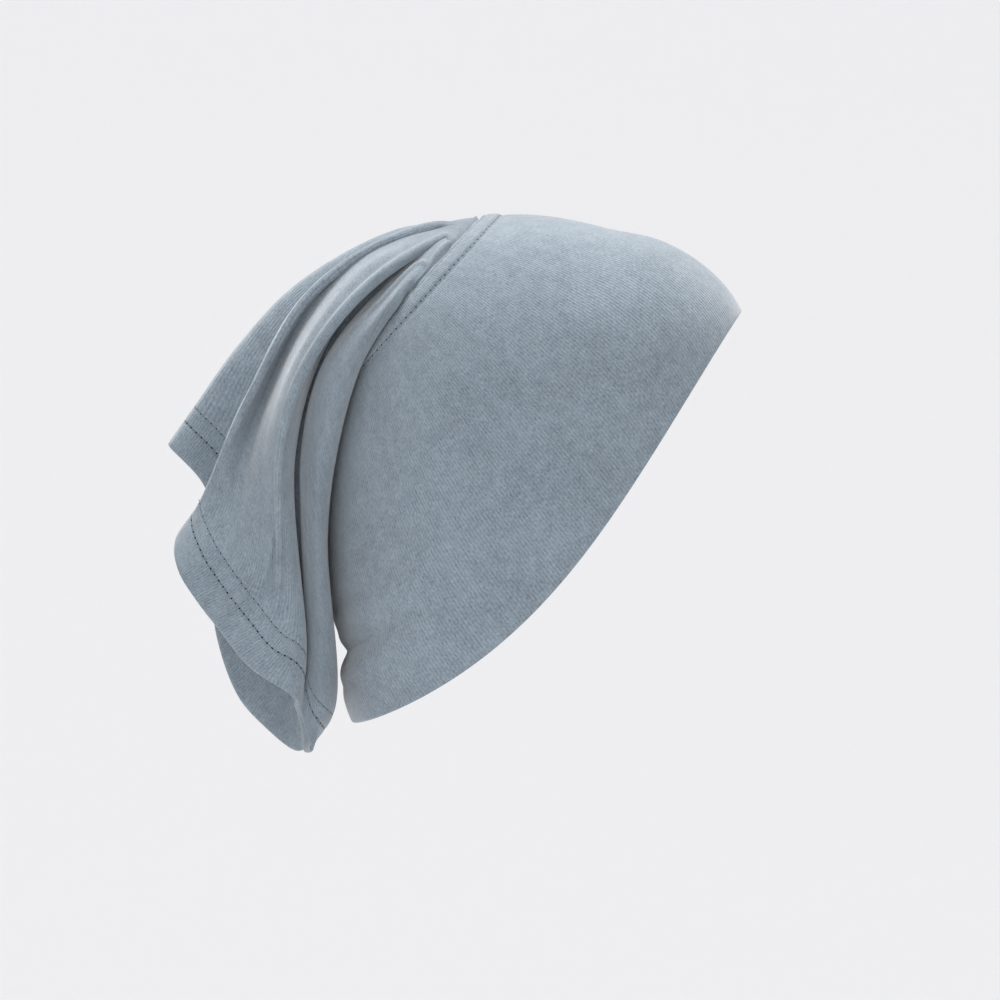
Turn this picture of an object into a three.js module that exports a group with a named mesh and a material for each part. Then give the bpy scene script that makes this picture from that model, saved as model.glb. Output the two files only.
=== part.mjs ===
import * as THREE from 'three';

// A jersey underscarf cap, as it sits on a head: a wide doubled band round the head, and behind it
// a gathered tube with an open, hemmed end that hangs down the back in folds.
// +X is the way the face looks, +Z is up, and -Y is the wearer's right side.
// The origin is inside the top of the band, where the crown of the head bears.

// Driving sizes, in millimetres.
const CROWN_HEIGHT = 86.2; // head centre up to the inside of the crown
const HEAD_HALF_WIDTH = 72;
const BAND_WALL = 2; // two plies of jersey, folded at the front edge
const SEAM_WIDTH = 7.5; // flat strip between the two rows of stitches
const SEAM_WALL = 2.8; // the band's two plies and the turned edge of the drape
const DRAPE_WALL = 1.2; // one ply
const HEM_WIDTH = 20;
const HEM_WALL = 2; // two plies, turned in at the open end
const JOINT_GAP = 0.4; // kept between two pieces that meet edge to edge
const REST_CLEARANCE = 0.8; // kept between the drape and the band that it hangs against
const REST_EASE = 1; // how far off its resting place the drape already begins to curve toward it
const DRAPE_REACH = 132; // from the top of the seam back to the rearmost fold
const DRAPE_DROP = 224; // from the top of the seam down to the lowest fold
const DRAPE_HALF_WIDTH = 56;
const RIM_BOW = 22; // how far the front edge bows below a straight line from brow to nape
const NAPE_CREASE_DEPTH = 4; // where the band has slid up and creased across the nape
const NAPE_CREASE_WIDTH = 11;
const NAPE_CREASE_LENGTH = 48;

// Where the front edge and the seam cross the middle of the head, in degrees up from straight ahead.
const RIM_DEGREES = { brow: 25.5, nape: 243.4 };
const SEAM_DEGREES = { crown: 95.7, back: 172.9 };
const NAPE_CREASE_DEGREES = { start: 234.4, rise: 29 };
const RIM_BOW_SKEW = 1.43; // above 1, the bow is deepest below the ear
const RIM_BOW_FULLNESS = 0.8; // below 1, the bow is fuller toward its ends

// The head seen from the side: its reach from the centre at each angle, as a share of CROWN_HEIGHT.
const HEAD_OUTLINE = [
  { place: 'brow', degrees: 0, reach: 1.235 },
  { place: 'hairline', degrees: 26, reach: 1.256 },
  { place: 'forehead', degrees: 36, reach: 1.231 },
  { place: 'forelock', degrees: 49, reach: 1.157 },
  { place: 'fore crown', degrees: 63, reach: 1.053 },
  { place: 'crown', degrees: 90, reach: 1 },
  { place: 'rear crown', degrees: 112, reach: 0.993 },
  { place: 'upper back', degrees: 142, reach: 0.937 },
  { place: 'back', degrees: 173, reach: 0.88 },
  { place: 'lower back', degrees: 202, reach: 0.955 },
  { place: 'nape', degrees: 229, reach: 1.245 },
  { place: 'neck', degrees: 243.4, reach: 1.612 },
  { place: 'under neck', degrees: 264, reach: 1.98 },
  { place: 'under jaw', degrees: 288, reach: 2.04 },
  { place: 'chin', degrees: 316, reach: 1.7 },
  { place: 'mouth', degrees: 342, reach: 1.32 },
];

// Where the drape's fold lines run, in order round the tube. root is the place on the seam, from 0 at
// the crown to 1 at the back of the head, and minus on the wearer's left. lean is how far the hem swings
// back from straight down, in degrees. back, drop and side are five places down the line, the first just
// behind the seam and the last at the top of the hem, measured from the top of the seam as shares of
// DRAPE_REACH, DRAPE_DROP and DRAPE_HALF_WIDTH.
const FOLDS = [
  { fold: 'top', root: 0, lean: 36, side: [0, 0, 0, -0.02, -0.04],
    back: [0.059, 0.273, 0.584, 0.769, 0.903], drop: [0.002, 0.02, 0.121, 0.235, 0.351] },
  { fold: 'near top crest', root: 0.06, lean: 35, side: [0.09, 0.14, 0.21, 0.25, 0.27],
    back: [0.066, 0.278, 0.588, 0.771, 0.906], drop: [0.005, 0.019, 0.121, 0.236, 0.349] },
  { fold: 'near top valley', root: 0.1, lean: 40, side: [0.16, 0.25, 0.38, 0.45, 0.36],
    back: [0.103, 0.306, 0.538, 0.694, 0.778], drop: [0.008, 0.043, 0.156, 0.299, 0.438] },
  { fold: 'near ridge 1', root: 0.145, lean: 34, side: [0.23, 0.41, 0.59, 0.73, 0.67],
    back: [0.122, 0.329, 0.56, 0.733, 0.882], drop: [0.013, 0.049, 0.152, 0.332, 0.524] },
  { fold: 'near valley 1', root: 0.18, lean: 46, side: [0.27, 0.39, 0.48, 0.61, 0.82],
    back: [0.122, 0.374, 0.574, 0.714, 0.844], drop: [0.021, 0.076, 0.185, 0.359, 0.588] },
  { fold: 'near flank 2', root: 0.215, lean: 55, side: [0.34, 0.61, 0.79, 0.89, 0.89],
    back: [0.128, 0.353, 0.526, 0.655, 0.774], drop: [0.027, 0.082, 0.198, 0.357, 0.651] },
  { fold: 'near ridge 2', root: 0.26, lean: 55, side: [0.45, 0.75, 0.93, 1.02, 0.91],
    back: [0.115, 0.326, 0.527, 0.638, 0.692], drop: [0.036, 0.106, 0.238, 0.389, 0.713] },
  { fold: 'near panel', root: 0.285, lean: 46, side: [0.45, 0.75, 0.89, 0.98, 0.88],
    back: [0.121, 0.326, 0.518, 0.617, 0.621], drop: [0.043, 0.113, 0.247, 0.416, 0.765] },
  { fold: 'near edge 2', root: 0.31, lean: 12, side: [0.43, 0.68, 0.82, 0.91, 0.8],
    back: [0.147, 0.346, 0.513, 0.602, 0.566], drop: [0.056, 0.12, 0.248, 0.434, 0.794] },
  { fold: 'near crevice', root: 0.34, lean: 6, side: [0.5, 0.64, 0.7, 0.75, 0.64],
    back: [0.171, 0.346, 0.502, 0.586, 0.559], drop: [0.072, 0.138, 0.26, 0.448, 0.825] },
  { fold: 'near roll crest', root: 0.38, lean: 6, side: [0.68, 0.84, 0.89, 0.82, 0.64],
    back: [0.196, 0.326, 0.487, 0.56, 0.537], drop: [0.09, 0.164, 0.272, 0.441, 0.873] },
  { fold: 'near roll', root: 0.44, lean: 12, side: [0.82, 0.95, 0.98, 0.91, 0.64],
    back: [0.229, 0.343, 0.458, 0.527, 0.509], drop: [0.123, 0.199, 0.31, 0.46, 0.895] },
  { fold: 'near roll edge', root: 0.52, lean: 35, side: [0.88, 0.89, 0.84, 0.77, 0.48],
    back: [0.272, 0.381, 0.46, 0.498, 0.477], drop: [0.171, 0.269, 0.421, 0.577, 0.913] },
  { fold: 'near tuck', root: 0.67, lean: 30, side: [0.73, 0.68, 0.61, 0.55, 0.3],
    back: [0.402, 0.44, 0.478, 0.498, 0.495], drop: [0.246, 0.341, 0.452, 0.596, 0.88] },
  { fold: 'near back', root: 0.84, lean: 22, side: [0.38, 0.39, 0.39, 0.32, 0.16],
    back: [0.496, 0.529, 0.548, 0.543, 0.526], drop: [0.311, 0.393, 0.532, 0.681, 0.846] },
  { fold: 'back', root: 1, lean: 20, side: [0, 0, 0, 0, -0.04],
    back: [0.53, 0.573, 0.585, 0.573, 0.548], drop: [0.325, 0.392, 0.532, 0.682, 0.823] },
  { fold: 'far back', root: -0.84, lean: 22, side: [-0.38, -0.39, -0.43, -0.36, -0.25],
    back: [0.496, 0.54, 0.56, 0.552, 0.532], drop: [0.311, 0.391, 0.532, 0.684, 0.838] },
  { fold: 'far tuck', root: -0.68, lean: 24, side: [-0.71, -0.68, -0.64, -0.57, -0.43],
    back: [0.41, 0.466, 0.498, 0.517, 0.515], drop: [0.24, 0.352, 0.475, 0.627, 0.866] },
  { fold: 'far roll', root: -0.54, lean: 10, side: [-0.84, -0.93, -0.96, -0.86, -0.59],
    back: [0.31, 0.398, 0.496, 0.54, 0.549], drop: [0.16, 0.264, 0.417, 0.59, 0.901] },
  { fold: 'far crevice', root: -0.42, lean: 12, side: [-0.77, -0.75, -0.75, -0.75, -0.7],
    back: [0.222, 0.357, 0.525, 0.597, 0.578], drop: [0.11, 0.17, 0.313, 0.494, 0.91] },
  { fold: 'far ridge 2', root: -0.34, lean: 26, side: [-0.68, -0.82, -0.93, -0.98, -0.86],
    back: [0.185, 0.351, 0.547, 0.649, 0.64], drop: [0.068, 0.131, 0.257, 0.446, 0.877] },
  { fold: 'far panel', root: -0.28, lean: 36, side: [-0.55, -0.71, -0.86, -0.95, -0.86],
    back: [0.15, 0.35, 0.559, 0.678, 0.71], drop: [0.046, 0.105, 0.238, 0.418, 0.823] },
  { fold: 'far flank 1', root: -0.22, lean: 41, side: [-0.44, -0.59, -0.75, -0.84, -0.79],
    back: [0.125, 0.356, 0.577, 0.695, 0.772], drop: [0.031, 0.084, 0.204, 0.38, 0.701] },
  { fold: 'far valley 1', root: -0.17, lean: 42, side: [-0.33, -0.43, -0.54, -0.61, -0.64],
    back: [0.118, 0.348, 0.568, 0.698, 0.776], drop: [0.021, 0.074, 0.187, 0.35, 0.586] },
  { fold: 'far ridge 1', root: -0.12, lean: 38, side: [-0.24, -0.39, -0.46, -0.54, -0.57],
    back: [0.112, 0.315, 0.573, 0.729, 0.8], drop: [0.011, 0.052, 0.161, 0.297, 0.43] },
  { fold: 'far top crest', root: -0.06, lean: 37, side: [-0.1, -0.16, -0.23, -0.28, -0.28],
    back: [0.072, 0.265, 0.58, 0.768, 0.902], drop: [-0.001, 0.031, 0.131, 0.248, 0.352] },
];

const MERIDIAN_POINTS = 7; // places where a line over the head is worked out
const HEM_START = 5 / 6; // the hem is the last of a fold line's six stretches
const CLEAR_FROM = 0.06; // share of a fold line by which it has left the seam
const HEAD_PROBE = 0.006; // share of CROWN_HEIGHT over which the head's slope is measured
const NORMAL_STEP = 0.01; // share of a ring's way down over which the cloth's slope is measured

const GRID = {
  band: { around: 60, along: 12 },
  seam: { around: 60, along: 2 },
  drape: { around: FOLDS.length * 4, along: 13 },
  hem: { around: FOLDS.length * 4, along: 3 },
};

const COLOURS = { cloth: 0x87929b, hem: 0x828d97 };

// A smooth value at one angle, from a table that goes once round.
function roundTable(table, angle, column) {
  const wanted = THREE.MathUtils.euclideanModulo(angle, 360);
  const row = (k) => table[THREE.MathUtils.euclideanModulo(k, table.length)];
  const place = (k) => row(k).degrees + 360 * Math.floor(k / table.length);
  const slope = (k) => (row(k + 1)[column] - row(k - 1)[column]) / (place(k + 1) - place(k - 1));
  const i = table.findLastIndex((entry) => entry.degrees <= wanted);
  const span = place(i + 1) - place(i);
  const rise = row(i + 1)[column] - row(i)[column];
  const t = (wanted - place(i)) / span;
  const bend = (1 - t) * (slope(i) * span - rise) - t * (slope(i + 1) * span - rise);
  return row(i)[column] + t * rise + t * (1 - t) * bend;
}

function headReach(angle) {
  return CROWN_HEIGHT * roundTable(HEAD_OUTLINE, angle, 'reach');
}

// How far out a point is, as a share of the way from the head's centre to the head's surface.
function headShare(point) {
  const angle = THREE.MathUtils.radToDeg(Math.atan2(point.z, point.x));
  return Math.hypot(Math.hypot(point.x, point.z) / headReach(angle), point.y / HEAD_HALF_WIDTH);
}

function onHead(point) {
  return point.clone().divideScalar(headShare(point));
}

function headNormal(point) {
  const step = HEAD_PROBE * CROWN_HEIGHT;
  const normal = new THREE.Vector3();
  for (const axis of ['x', 'y', 'z']) {
    const ahead = point.clone();
    const behind = point.clone();
    ahead[axis] += step;
    behind[axis] -= step;
    normal[axis] = headShare(ahead) - headShare(behind);
  }
  return normal.normalize();
}

function outlinePoint(angle) {
  const turned = THREE.MathUtils.degToRad(angle);
  return new THREE.Vector3(Math.cos(turned), 0, Math.sin(turned)).multiplyScalar(headReach(angle));
}

// A ring on the head that shows from the side as a line between two points of the outline.
// turn goes from 0 at the first point, round by the wearer's right, to 0.5 at the second.
function ringPoint(first, second, bow, turn) {
  const share = (1 - Math.cos(2 * Math.PI * turn)) / 2;
  const below = second.clone().sub(first).cross(new THREE.Vector3(0, 1, 0)).normalize();
  const point = first.clone().lerp(second, share);
  point.addScaledVector(below, bow * Math.sin(Math.PI * share ** RIM_BOW_SKEW) ** RIM_BOW_FULLNESS);
  const width = HEAD_HALF_WIDTH * Math.sqrt(Math.max(0, 1 - headShare(point) ** 2));
  point.y = -Math.sign(Math.sin(2 * Math.PI * turn)) * width;
  return point;
}

const seamTop = outlinePoint(SEAM_DEGREES.crown);
const seamBack = outlinePoint(SEAM_DEGREES.back);
const aheadOfSeam = seamBack.clone().sub(seamTop).cross(new THREE.Vector3(0, 1, 0)).normalize();
const seamPoint = (turn) => ringPoint(seamTop, seamBack, 0, turn);
const rimPoint = (turn) => {
  return ringPoint(outlinePoint(RIM_DEGREES.brow), outlinePoint(RIM_DEGREES.nape), RIM_BOW, turn);
};

// The line on the head from the seam forward to the front edge, at one place round the head.
function meridian(turn) {
  const seam = seamPoint(turn);
  const rim = rimPoint(turn);
  const points = Array.from({ length: MERIDIAN_POINTS }, (_, i) => {
    return onHead(seam.clone().lerp(rim, i / (MERIDIAN_POINTS - 1)));
  });
  return new THREE.CatmullRomCurve3(points);
}

// How far the band is sunk at one point by the crease that starts at the nape and fades toward the ear.
function creaseDepth(point) {
  const rise = THREE.MathUtils.degToRad(NAPE_CREASE_DEGREES.rise);
  const from = point.clone().sub(outlinePoint(NAPE_CREASE_DEGREES.start));
  const along = from.x * Math.cos(rise) + from.z * Math.sin(rise);
  const across = from.z * Math.cos(rise) - from.x * Math.sin(rise);
  const fade = 1 - THREE.MathUtils.smoothstep(along, 0, NAPE_CREASE_LENGTH);
  return NAPE_CREASE_DEPTH * fade * Math.exp(-((2 * across / NAPE_CREASE_WIDTH) ** 2));
}

// Rings on the head: from one distance ahead of the seam, at share 0, to another, at share 1.
// Infinity is the front edge. They run round by the wearer's left, and so have their outer face out.
function headRings(around, from, to) {
  const meridians = Array.from({ length: around }, (_, i) => meridian(-i / around));
  return (share) => meridians.map((line) => {
    const length = line.getLength();
    const ahead = THREE.MathUtils.lerp(Math.min(from, length), Math.min(to, length), share);
    const point = line.getPointAt(THREE.MathUtils.clamp(ahead / length, 0, 1));
    return point.addScaledVector(headNormal(point), -creaseDepth(point));
  });
}

// One fold line of the drape, from the seam to the open edge.
function foldLine({ root, lean, back, drop, side }) {
  const start = seamPoint(root / 2);
  const onward = meridian(root / 2).getTangentAt(0).negate();
  start.addScaledVector(headNormal(start), BAND_WALL / 2);
  start.addScaledVector(onward, JOINT_GAP + DRAPE_WALL / 2);
  const stations = back.map((share, k) => new THREE.Vector3(
    seamTop.x - share * DRAPE_REACH,
    -side[k] * DRAPE_HALF_WIDTH,
    seamTop.z - drop[k] * DRAPE_DROP,
  ));
  const swing = THREE.MathUtils.degToRad(lean);
  const down = new THREE.Vector3(-Math.sin(swing), 0, -Math.cos(swing));
  const edge = stations.at(-1).clone().addScaledVector(down, HEM_WIDTH);
  return new THREE.CatmullRomCurve3([start, ...stations, edge]);
}

// Moves a point of the drape out, softly, until it lies on the head behind the seam and clears the
// band ahead of it.
function clearOfHead(point, share) {
  const ahead = point.clone().sub(seamTop).dot(aheadOfSeam);
  const overBand = THREE.MathUtils.smoothstep(ahead, -SEAM_WIDTH / 2, -DRAPE_WALL);
  const resting = REST_CLEARANCE + DRAPE_WALL / 2;
  const left = THREE.MathUtils.smoothstep(share, 0, CLEAR_FROM);
  const room = THREE.MathUtils.lerp(BAND_WALL / 2, resting + overBand * SEAM_WALL, left);
  const distance = point.length();
  const out = distance * (1 - 1 / headShare(point));
  const wanted = room + REST_EASE * Math.log(1 + Math.exp((out - room) / REST_EASE));
  return point.multiplyScalar(1 + left * (wanted - out) / distance);
}

// Rings of the drape: from one share of the way from the seam to the open edge, to another.
const foldLines = FOLDS.map(foldLine);
function drapeRings(around, from, to) {
  return (share) => {
    const down = THREE.MathUtils.clamp(THREE.MathUtils.lerp(from, to, share), 0, 1);
    const ring = new THREE.CatmullRomCurve3(foldLines.map((line) => line.getPoint(down)), true);
    return Array.from({ length: around }, (_, i) => clearOfHead(ring.getPoint(i / around), down));
  };
}

// The way out of the cloth at each point of a ring.
function ringNormals(ringAt, share) {
  const before = ringAt(share - NORMAL_STEP);
  const ring = ringAt(share);
  const after = ringAt(share + NORMAL_STEP);
  return ring.map((_, i) => {
    const along = after[i].clone().sub(before[i]);
    const across = ring.at(i - 1).clone().sub(ring[(i + 1) % ring.length]);
    return across.cross(along).normalize();
  });
}

// A closed wall of cloth, which lies between two heights off the rings, with each end square or folded.
function clothShell(ringAt, along, [inner, outer], folded) {
  const last = along;
  const shares = Array.from({ length: along + 1 }, (_, j) => j / along);
  const rows = shares.map(ringAt);
  const normals = shares.map((share) => ringNormals(ringAt, share));
  const around = rows[0].length;
  const layer = (j, height) => {
    return rows[j].map((point, i) => point.clone().addScaledVector(normals[j][i], height));
  };
  const rings = rows.map((_, j) => layer(j, outer));
  if (folded) {
    rings.push(layer(last, (inner + outer) / 2).map((point, i) => {
      const out = rows[last][i].clone().sub(rows[last - 1][i]).normalize();
      return point.addScaledVector(out, (outer - inner) / 2);
    }));
  }
  for (let j = last; j >= 0; j--) rings.push(layer(j, inner));
  const indices = [];
  rings.forEach((_, j) => {
    const here = j * around;
    const next = ((j + 1) % rings.length) * around;
    for (let i = 0; i < around; i++) {
      const beside = (i + 1) % around;
      indices.push(here + i, next + i, next + beside);
      indices.push(here + i, next + beside, here + beside);
    }
  });
  const positions = rings.flat().flatMap((point) => point.toArray());
  const geometry = new THREE.BufferGeometry();
  geometry.setAttribute('position', new THREE.Float32BufferAttribute(positions, 3));
  geometry.setIndex(indices);
  geometry.computeVertexNormals();
  return geometry;
}

function clothPiece(name, geometry, colour) {
  const material = new THREE.MeshStandardMaterial({ color: colour, roughness: 0.9, metalness: 0 });
  const mesh = new THREE.Mesh(geometry, material);
  mesh.name = name;
  return mesh;
}

function headband() {
  const rings = headRings(GRID.band.around, SEAM_WIDTH + JOINT_GAP, Infinity);
  return clothPiece('headband', clothShell(rings, GRID.band.along, [0, BAND_WALL], true), COLOURS.cloth);
}

function joiningSeam() {
  const rings = headRings(GRID.seam.around, 0, SEAM_WIDTH);
  return clothPiece('joining_seam', clothShell(rings, GRID.seam.along, [0, SEAM_WALL], false), COLOURS.hem);
}

function drape() {
  const rings = drapeRings(GRID.drape.around, 0, HEM_START);
  const faces = [-DRAPE_WALL / 2, DRAPE_WALL / 2];
  return clothPiece('drape', clothShell(rings, GRID.drape.along, faces, false), COLOURS.cloth);
}

function drapeHem() {
  const gap = (1 - HEM_START) * (JOINT_GAP / HEM_WIDTH);
  const rings = drapeRings(GRID.hem.around, HEM_START + gap, 1);
  const faces = [DRAPE_WALL / 2 - HEM_WALL, DRAPE_WALL / 2];
  return clothPiece('drape_hem', clothShell(rings, GRID.hem.along, faces, true), COLOURS.hem);
}

const cap = new THREE.Group();
cap.add(headband(), joiningSeam(), drape(), drapeHem());
cap.position.z = -CROWN_HEIGHT;

export default cap;
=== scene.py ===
# %% [markdown]
# # A jersey underscarf cap, piece by piece
#
# The cap is sewn from fine slate blue jersey. A wide band, two plies thick, is pulled tight round the
# head. A flat strip between two rows of stitches joins it to a gathered tube, which hangs down behind
# in folds and ends in a hem. The frame that is loaded here holds the same four pieces as plain walls
# at their real size. Each gets a finished piece of cloth in its place, with its stitches and its knit.

# %% Load the frame
import math

import bpy
import numpy as np
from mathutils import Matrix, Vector


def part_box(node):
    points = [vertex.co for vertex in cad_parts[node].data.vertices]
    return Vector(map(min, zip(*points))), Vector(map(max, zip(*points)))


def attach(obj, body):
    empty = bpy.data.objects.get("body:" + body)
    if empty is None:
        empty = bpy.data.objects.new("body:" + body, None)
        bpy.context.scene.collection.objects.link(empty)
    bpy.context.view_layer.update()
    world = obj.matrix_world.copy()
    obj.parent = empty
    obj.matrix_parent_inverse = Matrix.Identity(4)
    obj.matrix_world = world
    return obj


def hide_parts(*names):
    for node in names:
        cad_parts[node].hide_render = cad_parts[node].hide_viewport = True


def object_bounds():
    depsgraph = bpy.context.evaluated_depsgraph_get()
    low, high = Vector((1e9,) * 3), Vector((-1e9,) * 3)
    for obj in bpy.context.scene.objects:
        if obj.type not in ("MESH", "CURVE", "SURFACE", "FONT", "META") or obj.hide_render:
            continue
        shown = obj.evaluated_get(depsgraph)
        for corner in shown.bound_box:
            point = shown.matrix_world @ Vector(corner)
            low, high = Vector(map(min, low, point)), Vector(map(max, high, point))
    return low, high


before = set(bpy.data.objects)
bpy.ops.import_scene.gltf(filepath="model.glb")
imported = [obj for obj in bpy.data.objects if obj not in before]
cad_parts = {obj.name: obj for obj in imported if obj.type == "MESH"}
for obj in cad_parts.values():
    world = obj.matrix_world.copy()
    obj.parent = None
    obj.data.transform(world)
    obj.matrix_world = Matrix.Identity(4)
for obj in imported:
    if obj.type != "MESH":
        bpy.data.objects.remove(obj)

MM = 0.001
UP = np.array([0.0, 0.0, 1.0])
SIDEWAYS = np.array([0.0, 1.0, 0.0])

cad_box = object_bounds()
print("The frame holds", ", ".join(sorted(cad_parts)))
print("It measures", [round(side / MM) for side in cad_box[1] - cad_box[0]], "millimetres")

# %% [markdown]
# ## Camera
#
# The photograph is a level side view through a long lens. Its scale is known from the size of the head
# that the cap is made for, so the camera follows from one distance and that scale: the lens is as long
# as it takes for the picture's width to cover its width in millimetres at the middle of the cap.

# %% Add the camera
PHOTO_SIDE_PX = 1000
PHOTO_SCALE = 0.42 * MM  # to a pixel, at the middle of the cap
HEAD_CENTRE_PX = (505, 425)
CROWN_HEIGHT = 86.2 * MM  # head centre up to the inside of the crown, where the frame's origin is
CAMERA_DISTANCE = 2.4
FILM_WIDTH_MM = 36


def photo_place(x_px, y_px):
    """The point on the cap's middle plane that shows at a pixel of the photograph."""
    right = (x_px - HEAD_CENTRE_PX[0]) * PHOTO_SCALE
    up = (HEAD_CENTRE_PX[1] - y_px) * PHOTO_SCALE
    return Vector((right, 0, up - CROWN_HEIGHT))


picture_centre = photo_place(PHOTO_SIDE_PX / 2, PHOTO_SIDE_PX / 2)
bpy.ops.object.camera_add(
    location=picture_centre - Vector((0, CAMERA_DISTANCE, 0)),
    rotation=(math.radians(90), 0, 0),
)
camera = bpy.context.object
camera.data.sensor_width = FILM_WIDTH_MM
camera.data.lens = FILM_WIDTH_MM * CAMERA_DISTANCE / (PHOTO_SIDE_PX * PHOTO_SCALE)
bpy.context.scene.camera = camera
print("Lens:", round(camera.data.lens), "mm")

# %% [markdown]
# ## Studio
#
# A plain pale studio has a floor that curves up into a wall, so no horizon shows. One disc with its
# rim extruded outward and upward in small steps makes a round one, which works from every side. The
# light is a soft one overhead, a wider and weaker one low beside the camera, and a pale sky that fills
# the shadows.

# %% Build the studio floor and wall
FLOOR_DROP = 1.0  # below the cap's lowest point
FLOOR_RADIUS = 3.0
FLOOR_SIDES = 96
SWEEP_RADIUS = 1.2
SWEEP_STEPS = 12
WALL_HEIGHT = 3.0
PAPER_COLOUR = (0.6, 0.6, 0.61, 1)
PAPER_GLOW = 0.33  # the paper is lit from behind as well

floor_height = cad_box[0].z - FLOOR_DROP
bpy.ops.object.select_all(action="DESELECT")
bpy.ops.mesh.primitive_circle_add(
    vertices=FLOOR_SIDES, radius=FLOOR_RADIUS, fill_type="NGON", location=(0, 0, floor_height)
)
studio = bpy.context.object
studio.name = "studio"
bpy.ops.object.mode_set(mode="EDIT")
bpy.ops.mesh.select_all(action="SELECT")
reach, height = FLOOR_RADIUS, 0.0
for step in range(1, SWEEP_STEPS + 1):
    turn = math.radians(90) * step / SWEEP_STEPS
    next_reach = FLOOR_RADIUS + SWEEP_RADIUS * math.sin(turn)
    next_height = SWEEP_RADIUS * (1 - math.cos(turn))
    bpy.ops.mesh.extrude_region_move(TRANSFORM_OT_translate={"value": (0, 0, next_height - height)})
    bpy.ops.transform.resize(value=(next_reach / reach, next_reach / reach, 1))
    reach, height = next_reach, next_height
bpy.ops.mesh.extrude_region_move(TRANSFORM_OT_translate={"value": (0, 0, WALL_HEIGHT)})
bpy.ops.object.mode_set(mode="OBJECT")
bpy.ops.object.shade_smooth()
paper = bpy.data.materials.new("pale_paper")
paper.use_nodes = True
paper_surface = paper.node_tree.nodes["Principled BSDF"]
paper_surface.inputs["Base Color"].default_value = PAPER_COLOUR
paper_surface.inputs["Roughness"].default_value = 1.0
paper_surface.inputs["Specular IOR Level"].default_value = 0.0
paper_surface.inputs["Emission Color"].default_value = (1, 1, 1, 1)
paper_surface.inputs["Emission Strength"].default_value = PAPER_GLOW
studio.data.materials.append(paper)
print("Studio floor at", round(floor_height, 3), "m")

# %% Add the lights
CAP_MIDDLE = (cad_box[0] + cad_box[1]) / 2
SKY_STRENGTH = 0.7


def add_softbox(name, offset, size, power):
    """Adds a square soft light that looks at the cap from an offset to its middle."""
    place = CAP_MIDDLE + Vector(offset)
    aim = (CAP_MIDDLE - place).to_track_quat("-Z", "Y").to_euler()
    bpy.ops.object.light_add(type="AREA", location=place, rotation=aim)
    light = bpy.context.object
    light.name = name
    light.data.size = size
    light.data.energy = power


add_softbox("overhead_softbox", offset=(0.05, 0.3, 1.35), size=0.6, power=25)
add_softbox("camera_softbox", offset=(-0.7, -2.5, -0.3), size=1.2, power=17)
sky = bpy.data.worlds.new("pale_sky")
sky.use_nodes = True
sky.node_tree.nodes["Background"].inputs["Color"].default_value = (1, 1, 1, 1)
sky.node_tree.nodes["Background"].inputs["Strength"].default_value = SKY_STRENGTH
bpy.context.scene.world = sky
bpy.context.scene.view_settings.view_transform = "Standard"
print("Two soft lights and a sky of strength", SKY_STRENGTH)

# %% [markdown]
# ## Shader maths as Python
#
# A knit is a pattern of repeating waves, and waves are sums and products. A small class wraps a socket
# of a material, so that `1 - rib * rib` adds the Math nodes for it. One more method adds any other
# node.

# %% Define the shader helper


class Tone:
    """A socket in a material's nodes. Arithmetic on it adds Math nodes."""

    def __init__(self, tree, socket=None):
        self.tree = tree
        self.socket = socket

    def node(self, kind, settings=(), output=0, **inputs):
        """Adds a node: its settings first, then the values or links of its sockets."""
        made = self.tree.nodes.new(kind)
        for key, value in dict(settings).items():
            setattr(made, key, value)
        for key, value in inputs.items():
            place = int(key[1:]) if key[0] == "i" and key[1:].isdigit() else key.replace("_", " ")
            if isinstance(value, Tone):
                self.tree.links.new(value.socket, made.inputs[place])
            else:
                made.inputs[place].default_value = value
        return Tone(self.tree, made.outputs[output])

    def math(self, operation, *values):
        named = {f"i{place}": value for place, value in enumerate(values)}
        return self.node("ShaderNodeMath", {"operation": operation}, **named)

    def __add__(self, other):
        return self.math("ADD", self, other)

    def __sub__(self, other):
        return self.math("SUBTRACT", self, other)

    def __rsub__(self, other):
        return self.math("SUBTRACT", other, self)

    def __mul__(self, other):
        return self.math("MULTIPLY", self, other)

    def __truediv__(self, other):
        return self.math("DIVIDE", self, other)

    __radd__ = __add__
    __rmul__ = __mul__


SHEEN_ROUGHNESS = 0.45
CLOTH_SPECULAR = 0.25


def new_material(name, roughness, sheen=0.0):
    """A material with its helper and its main shader node."""
    material = bpy.data.materials.new(name)
    material.use_nodes = True
    surface = material.node_tree.nodes["Principled BSDF"]
    surface.inputs["Roughness"].default_value = roughness
    surface.inputs["Sheen Weight"].default_value = sheen
    surface.inputs["Sheen Roughness"].default_value = SHEEN_ROUGHNESS
    surface.inputs["Specular IOR Level"].default_value = CLOTH_SPECULAR
    return material, Tone(material.node_tree), surface


# %% [markdown]
# ## Jersey
#
# Jersey shows columns of small V shaped loops, called wales, which run from the front edge back and
# down the tube. Every piece of cloth here carries a UV map in metres of flat cloth, with U across the
# wales and V along them, so one material draws the loops at their real size on all of them: in the
# bump, and as painted shade between them in the colour. Its yarn is a heather: fibres of lighter and
# darker blue grey, seen as fine flecks.

# %% Make the jersey material
WALE = 1.15 * MM  # one column of loops
COURSE = 0.9 * MM  # one row of loops
CLOTH_COLOUR = (0.268, 0.322, 0.368, 1)
SHADE_COLOUR = (0.118, 0.147, 0.176, 1)
LOOP_DEPTH = 0.2 * MM
FIBRES, HEATHER, PATCHES = (1500, 700), (260, 150), (38, 24)  # per metre, across and along the cloth


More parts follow.
